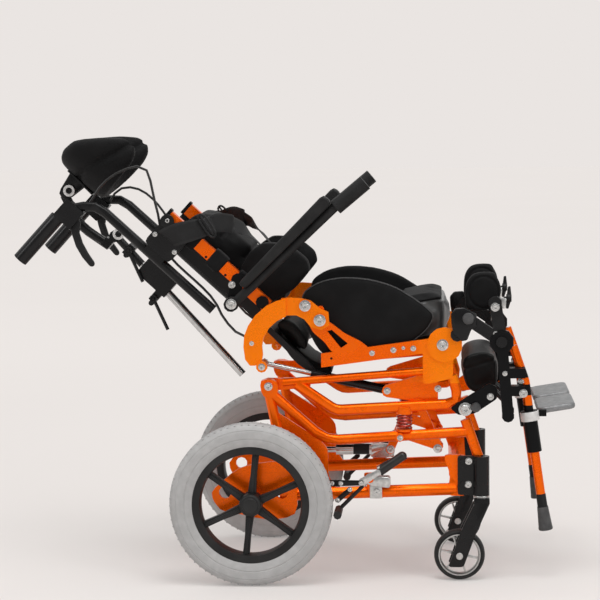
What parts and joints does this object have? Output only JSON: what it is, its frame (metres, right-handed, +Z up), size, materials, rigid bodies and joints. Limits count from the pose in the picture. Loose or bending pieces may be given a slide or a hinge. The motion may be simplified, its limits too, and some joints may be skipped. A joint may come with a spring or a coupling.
{
  "type": "tilt in space wheelchair",
  "caption": "Child-size tilt in space wheelchair with reclining back, winged headrest, armrests, legrests with footplates, grey-tyred rear wheels and swivel casters.",
  "frame": {"origin": "on the floor under the middle of the overall box of the chair", "axes": "+X the way the sitter faces, +Y to the sitter's left, +Z up"},
  "size_m": [1.0808, 0.516, 0.8588],
  "materials": {
    "orange_paint": "clear-coated metallic orange",
    "black_paint": "satin black",
    "bright_steel": "brushed",
    "aluminium": "anodised grey",
    "black_plastic": "textured matt",
    "black_rubber": "matt",
    "grey_tyre": "matt grey",
    "black_tyre": "matt",
    "black_fabric": "knitted cover",
    "spring_steel": "dark red lacquer"
  },
  "bodies": {
    "base": {"base_side_right": "orange_paint", "base_side_left": "orange_paint", "base_cross_tube_rear": "orange_paint", "caster_housing_right": "black_paint", "caster_housing_left": "black_paint", "bumper_spring_right": "spring_steel", "bumper_spring_left": "spring_steel"},
    "seat": {"seat_side_right": "orange_paint", "seat_side_left": "orange_paint", "seat_pan": "black_paint", "seat_cushion": "black_fabric", "seat_guard_right": "black_fabric", "seat_guard_left": "black_fabric", "leg_hanger_right": "black_paint", "leg_hanger_left": "black_paint"},
    "back": {"hook_plate_right": "orange_paint", "hook_plate_left": "orange_paint", "back_cane_right": "orange_paint", "back_cane_left": "orange_paint", "push_handle_right": "black_paint", "push_handle_left": "black_paint", "back_shell": "black_plastic", "back_cushion": "black_fabric", "headrest_mount": "black_paint", "release_cable_right": "black_rubber", "release_cable_left": "black_rubber"},
    "legs": {"leg_tube_right": "orange_paint", "leg_tube_left": "orange_paint", "calf_pad": "black_fabric"},
    "tilt_crank": {"tilt_crank": "orange_paint"},
    "tilt_lift_link": {"tilt_lift_link": "bright_steel"},
    "tilt_spring_rod": {"tilt_spring_rod": "bright_steel"},
    "tilt_spring_body": {"tilt_spring_body": "black_paint"},
    "recline_spring_body": {"recline_spring_body": "black_paint"},
    "recline_spring_rod": {"recline_spring_rod": "bright_steel"},
    "headrest_stem": {"headrest_stem": "bright_steel"},
    "headrest_arm": {"headrest_arm": "black_paint"},
    "headrest_pad": {"headrest_pad": "black_fabric"},
    "clamp_lever_upper": {"clamp_lever_upper": "black_plastic"},
    "clamp_lever_lower": {"clamp_lever_lower": "black_plastic"},
    "rear_wheel_right": {"rear_tyre_right": "grey_tyre", "rear_wheel_right": "black_plastic"},
    "caster_fork_right": {"caster_fork_right": "black_paint"},
    "caster_wheel_right": {"caster_wheel_right": "black_tyre"},
    "wheel_lock_lever_right": {"wheel_lock_lever_right": "bright_steel"},
    "brake_lever_right": {"brake_lever_right": "black_plastic"},
    "armrest_right": {"armrest_right": "black_rubber"},
    "knee_pad_right": {"knee_pad_right": "black_fabric"},
    "stabiliser_foot_right": {"stabiliser_foot_right": "orange_paint"},
    "footplate_right": {"footplate_right": "aluminium"},
    "rear_wheel_left": {"rear_tyre_left": "grey_tyre", "rear_wheel_left": "black_plastic"},
    "caster_fork_left": {"caster_fork_left": "black_paint"},
    "caster_wheel_left": {"caster_wheel_left": "black_tyre"},
    "wheel_lock_lever_left": {"wheel_lock_lever_left": "bright_steel"},
    "brake_lever_left": {"brake_lever_left": "black_plastic"},
    "armrest_left": {"armrest_left": "black_rubber"},
    "knee_pad_left": {"knee_pad_left": "black_fabric"},
    "stabiliser_foot_left": {"stabiliser_foot_left": "orange_paint"},
    "footplate_left": {"footplate_left": "aluminium"}
  },
  "joints": [
    {"name": "tilt", "type": "hinge", "parent": "base", "child": "seat", "pos_m": [-0.04894, 0, 0.375], "axis": [0, -1, 0], "range_deg": [0, 18]},
    {"name": "recline", "type": "hinge", "parent": "seat", "child": "back", "pos_m": [0.05206, 0, 0.504], "axis": [0, 1, 0], "range_deg": [0, 30]},
    {"name": "legrest_swing", "type": "hinge", "parent": "seat", "child": "legs", "pos_m": [0.39806, 0, 0.462], "axis": [0, -1, 0], "range_deg": [0, 30]},
    {"name": "tilt_crank_turn", "type": "hinge", "parent": "base", "child": "tilt_crank", "pos_m": [0.20306, 0, 0.276], "axis": [0, -1, 0], "range_deg": [0, 68.25]},
    {"name": "lift_link_turn", "type": "hinge", "parent": "tilt_crank", "child": "tilt_lift_link", "pos_m": [0.27706, 0, 0.251], "axis": [0, -1, 0], "range_deg": [-81.04, 0]},
    {"name": "tilt_spring_turn", "type": "hinge", "parent": "base", "child": "tilt_spring_rod", "pos_m": [0.00406, 0, 0.224], "axis": [0, -1, 0], "range_deg": [0, 2.92]},
    {"name": "tilt_spring_slide", "type": "slide", "parent": "tilt_spring_rod", "child": "tilt_spring_body", "axis": [0.9999, 0, 0.0113], "range_m": [0, 0.0613]},
    {"name": "recline_spring_turn", "type": "hinge", "parent": "seat", "child": "recline_spring_body", "pos_m": [0.17906, 0, 0.362], "axis": [0, 1, 0], "range_deg": [0, 12.24]},
    {"name": "recline_spring_slide", "type": "slide", "parent": "recline_spring_body", "child": "recline_spring_rod", "axis": [-0.9763, 0, 0.2165], "range_m": [0, 0.0507]},
    {"name": "headrest_height", "type": "slide", "parent": "back", "child": "headrest_stem", "axis": [-0.6693, 0, 0.743], "range_m": [-0.02, 0.08]},
    {"name": "headrest_arm_turn", "type": "hinge", "parent": "headrest_stem", "child": "headrest_arm", "pos_m": [-0.36655, 0, 0.65701], "axis": [0, 1, 0], "range_deg": [-15, 15]},
    {"name": "headrest_tilt", "type": "hinge", "parent": "headrest_arm", "child": "headrest_pad", "pos_m": [-0.46448, 0, 0.74403], "axis": [0, 1, 0], "range_deg": [-15, 15]},
    {"name": "clamp_upper_turn", "type": "hinge", "parent": "headrest_stem", "child": "clamp_lever_upper", "pos_m": [-0.3383, 0, 0.62863], "axis": [0, 1, 0], "range_deg": [-40, 40]},
    {"name": "clamp_lower_turn", "type": "hinge", "parent": "back", "child": "clamp_lever_lower", "pos_m": [-0.2893, 0, 0.5326], "axis": [0, 1, 0], "range_deg": [-40, 40]},
    {"name": "rear_wheel_turn_right", "type": "hinge", "parent": "base", "child": "rear_wheel_right", "pos_m": [-0.07994, -0.23, 0.15651], "axis": [0, 1, 0], "continuous": true},
    {"name": "caster_swivel_right", "type": "hinge", "parent": "base", "child": "caster_fork_right", "pos_m": [0.35976, -0.175, 0.15], "axis": [0, 0, 1], "continuous": true},
    {"name": "caster_roll_right", "type": "hinge", "parent": "caster_fork_right", "child": "caster_wheel_right", "pos_m": [0.31706, -0.175, 0.04904], "axis": [0, 1, 0], "continuous": true},
    {"name": "wheel_lock_right", "type": "hinge", "parent": "base", "child": "wheel_lock_lever_right", "pos_m": [0.14606, -0.186, 0.197], "axis": [0, -1, 0], "range_deg": [0, 25]},
    {"name": "brake_lever_squeeze_right", "type": "hinge", "parent": "back", "child": "brake_lever_right", "pos_m": [-0.42356, -0.16, 0.6984], "axis": [0, 1, 0], "range_deg": [0, 22], "stiffness_Nm_per_rad": 1, "springref_deg": -22.92},
    {"name": "armrest_lift_right", "type": "hinge", "parent": "back", "child": "armrest_right", "pos_m": [-0.11639, -0.196, 0.53628], "axis": [0, -1, 0], "range_deg": [0, 90]},
    {"name": "knee_pad_swivel_right", "type": "hinge", "parent": "seat", "child": "knee_pad_right", "pos_m": [0.38606, -0.15, 0.52], "axis": [0, 0, 1], "range_deg": [0, 40]},
    {"name": "stabiliser_slide_right", "type": "slide", "parent": "legs", "child": "stabiliser_foot_right", "axis": [0.1405, 0, -0.9901], "range_m": [0, 0.04]},
    {"name": "footplate_fold_right", "type": "hinge", "parent": "legs", "child": "footplate_right", "pos_m": [0.46606, -0.158, 0.328], "axis": [0.9877, 0, 0.1564], "range_deg": [0, 90]},
    {"name": "rear_wheel_turn_left", "type": "hinge", "parent": "base", "child": "rear_wheel_left", "pos_m": [-0.07994, 0.23, 0.15651], "axis": [0, 1, 0], "continuous": true},
    {"name": "caster_swivel_left", "type": "hinge", "parent": "base", "child": "caster_fork_left", "pos_m": [0.35976, 0.175, 0.15], "axis": [0, 0, 1], "continuous": true},
    {"name": "caster_roll_left", "type": "hinge", "parent": "caster_fork_left", "child": "caster_wheel_left", "pos_m": [0.31706, 0.175, 0.04904], "axis": [0, 1, 0], "continuous": true},
    {"name": "wheel_lock_left", "type": "hinge", "parent": "base", "child": "wheel_lock_lever_left", "pos_m": [0.14606, 0.186, 0.197], "axis": [0, -1, 0], "range_deg": [0, 25]},
    {"name": "brake_lever_squeeze_left", "type": "hinge", "parent": "back", "child": "brake_lever_left", "pos_m": [-0.42356, 0.16, 0.6984], "axis": [0, 1, 0], "range_deg": [0, 22], "stiffness_Nm_per_rad": 1, "springref_deg": -22.92},
    {"name": "armrest_lift_left", "type": "hinge", "parent": "back", "child": "armrest_left", "pos_m": [-0.11639, 0.196, 0.53628], "axis": [0, -1, 0], "range_deg": [0, 90]},
    {"name": "knee_pad_swivel_left", "type": "hinge", "parent": "seat", "child": "knee_pad_left", "pos_m": [0.38606, 0.15, 0.52], "axis": [0, 0, -1], "range_deg": [0, 40]},
    {"name": "stabiliser_slide_left", "type": "slide", "parent": "legs", "child": "stabiliser_foot_left", "axis": [0.1405, 0, -0.9901], "range_m": [0, 0.04]},
    {"name": "footplate_fold_left", "type": "hinge", "parent": "legs", "child": "footplate_left", "pos_m": [0.46606, 0.158, 0.328], "axis": [-0.9877, 0, -0.1564], "range_deg": [0, 90]}
  ],
  "couplings": [
    {"joint": "tilt_crank_turn", "follows": "tilt", "ratio": 3.7639},
    {"joint": "lift_link_turn", "follows": "tilt", "ratio": -4.4745},
    {"joint": "tilt_spring_turn", "follows": "tilt", "ratio": 0.13455},
    {"joint": "tilt_spring_slide", "follows": "tilt", "m_per_rad": 0.19186},
    {"joint": "recline_spring_turn", "follows": "recline", "ratio": 0.39141},
    {"joint": "recline_spring_slide", "follows": "recline", "m_per_rad": 0.09485}
  ]
}
